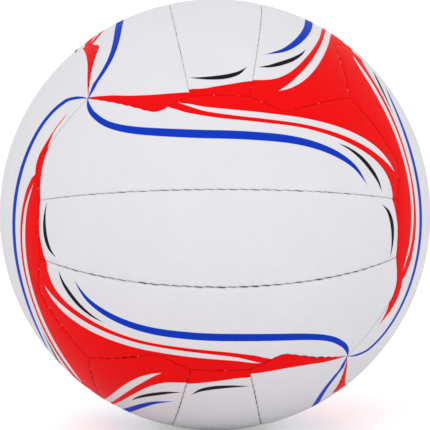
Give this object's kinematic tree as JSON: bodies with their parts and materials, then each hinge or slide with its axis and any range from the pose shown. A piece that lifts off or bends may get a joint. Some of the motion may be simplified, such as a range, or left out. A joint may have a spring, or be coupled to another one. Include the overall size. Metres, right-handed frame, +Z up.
{
  "type": "netball",
  "caption": "Inflated netball: a sphere of strip panels with turned-in lips, sewn edge to edge over cloth linings and a bladder, with a needle valve at the back.",
  "frame": {"origin": "the ball's centre", "axes": "+Z up as pictured, -Y towards the camera's side of the ball, +Y out of the valve"},
  "size_m": [0.2228, 0.2227, 0.2228],
  "materials": {
    "cover": "matte, fine grip grain",
    "lining": "woven cloth",
    "thread": "waxed thread",
    "bladder": "smooth, matte",
    "valve_patch": "matte",
    "valve": "matte"
  },
  "bodies": {
    "root": {"back_left_end_thread": "thread", "back_lower_cover": "cover", "back_lower_lining": "lining", "back_middle_cover": "cover", "back_middle_lining": "lining", "back_panel_thread": "thread", "back_right_end_thread": "thread", "back_upper_cover": "cover", "back_upper_lining": "lining", "bladder": "bladder", "bottom_back_end_thread": "thread", "bottom_front_end_thread": "thread", "bottom_left_cover": "cover", "bottom_left_lining": "lining", "bottom_middle_cover": "cover", "bottom_middle_lining": "lining", "bottom_panel_thread": "thread", "bottom_right_cover": "cover", "bottom_right_lining": "lining", "front_left_end_thread": "thread", "front_lower_cover": "cover", "front_lower_lining": "lining", "front_middle_cover": "cover", "front_middle_lining": "lining", "front_panel_thread": "thread", "front_right_end_thread": "thread", "front_upper_cover": "cover", "front_upper_lining": "lining", "left_back_cover": "cover", "left_back_lining": "lining", "left_bottom_end_thread": "thread", "left_front_cover": "cover", "left_front_lining": "lining", "left_middle_cover": "cover", "left_middle_lining": "lining", "left_panel_thread": "thread", "left_top_end_thread": "thread", "right_back_cover": "cover", "right_back_lining": "lining", "right_bottom_end_thread": "thread", "right_front_cover": "cover", "right_front_lining": "lining", "right_middle_cover": "cover", "right_middle_lining": "lining", "right_panel_thread": "thread", "right_top_end_thread": "thread", "top_back_end_thread": "thread", "top_front_end_thread": "thread", "top_left_cover": "cover", "top_left_lining": "lining", "top_middle_cover": "cover", "top_middle_lining": "lining", "top_panel_thread": "thread", "top_right_cover": "cover", "top_right_lining": "lining", "valve_housing": "valve", "valve_insert": "valve", "valve_patch": "valve_patch"}
  },
  "joints": []
}
